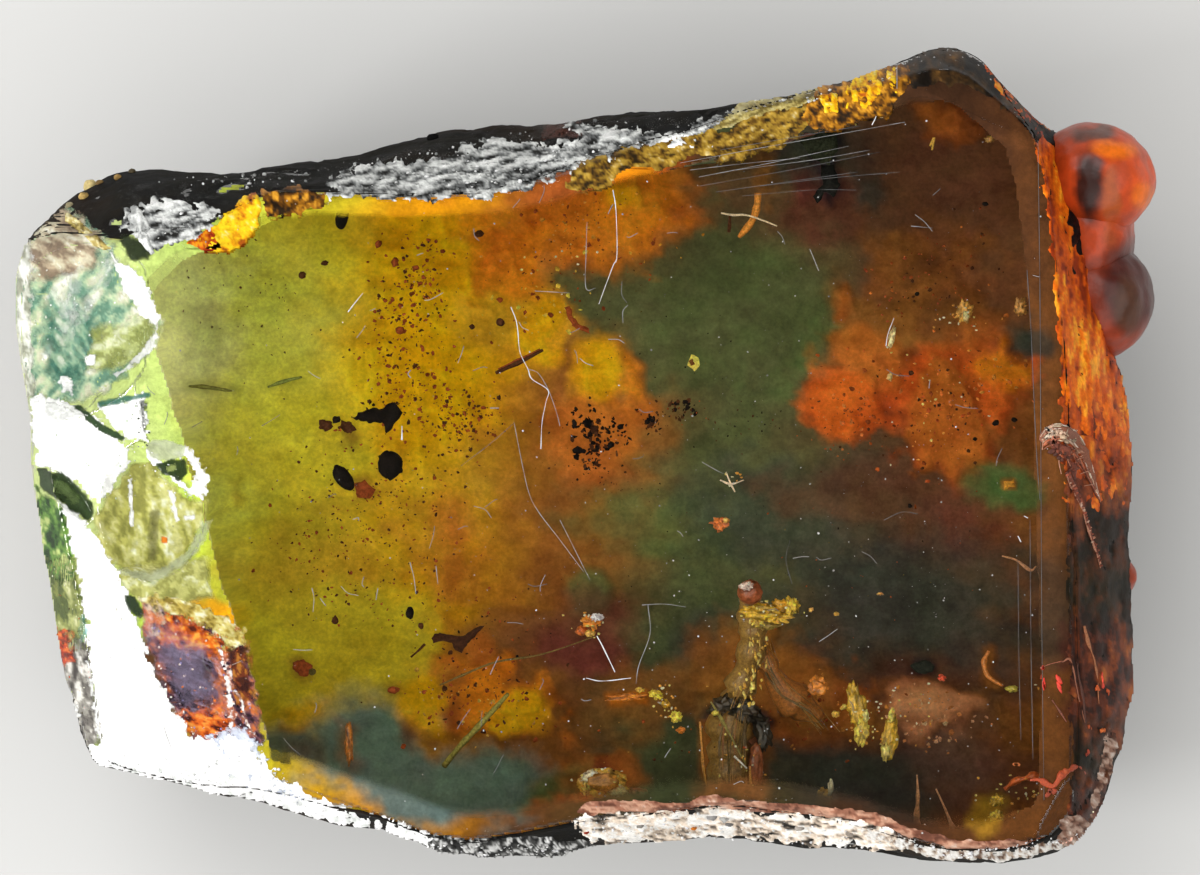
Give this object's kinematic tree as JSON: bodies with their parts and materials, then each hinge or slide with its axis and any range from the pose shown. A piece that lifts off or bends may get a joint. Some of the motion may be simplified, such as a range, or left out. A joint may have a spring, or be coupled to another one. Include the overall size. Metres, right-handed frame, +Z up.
{
  "type": "raw amber piece",
  "caption": "Rough clear amber nodule lying on its flattish back, with a polished window face on top, natural crust on its sides, a round knob and fracture facets.",
  "frame": {"origin": "centre of the bounding box in plan, on the flat that the piece rests on", "axes": "+X along the length, from the fractured end towards the knob; +Y towards the edge with the dark crust; +Z up, out of the polished window face"},
  "size_m": [0.0476, 0.0342, 0.019],
  "materials": {
    "amber": "gloss"
  },
  "bodies": {
    "root": {"raw_amber": "amber"}
  },
  "joints": []
}
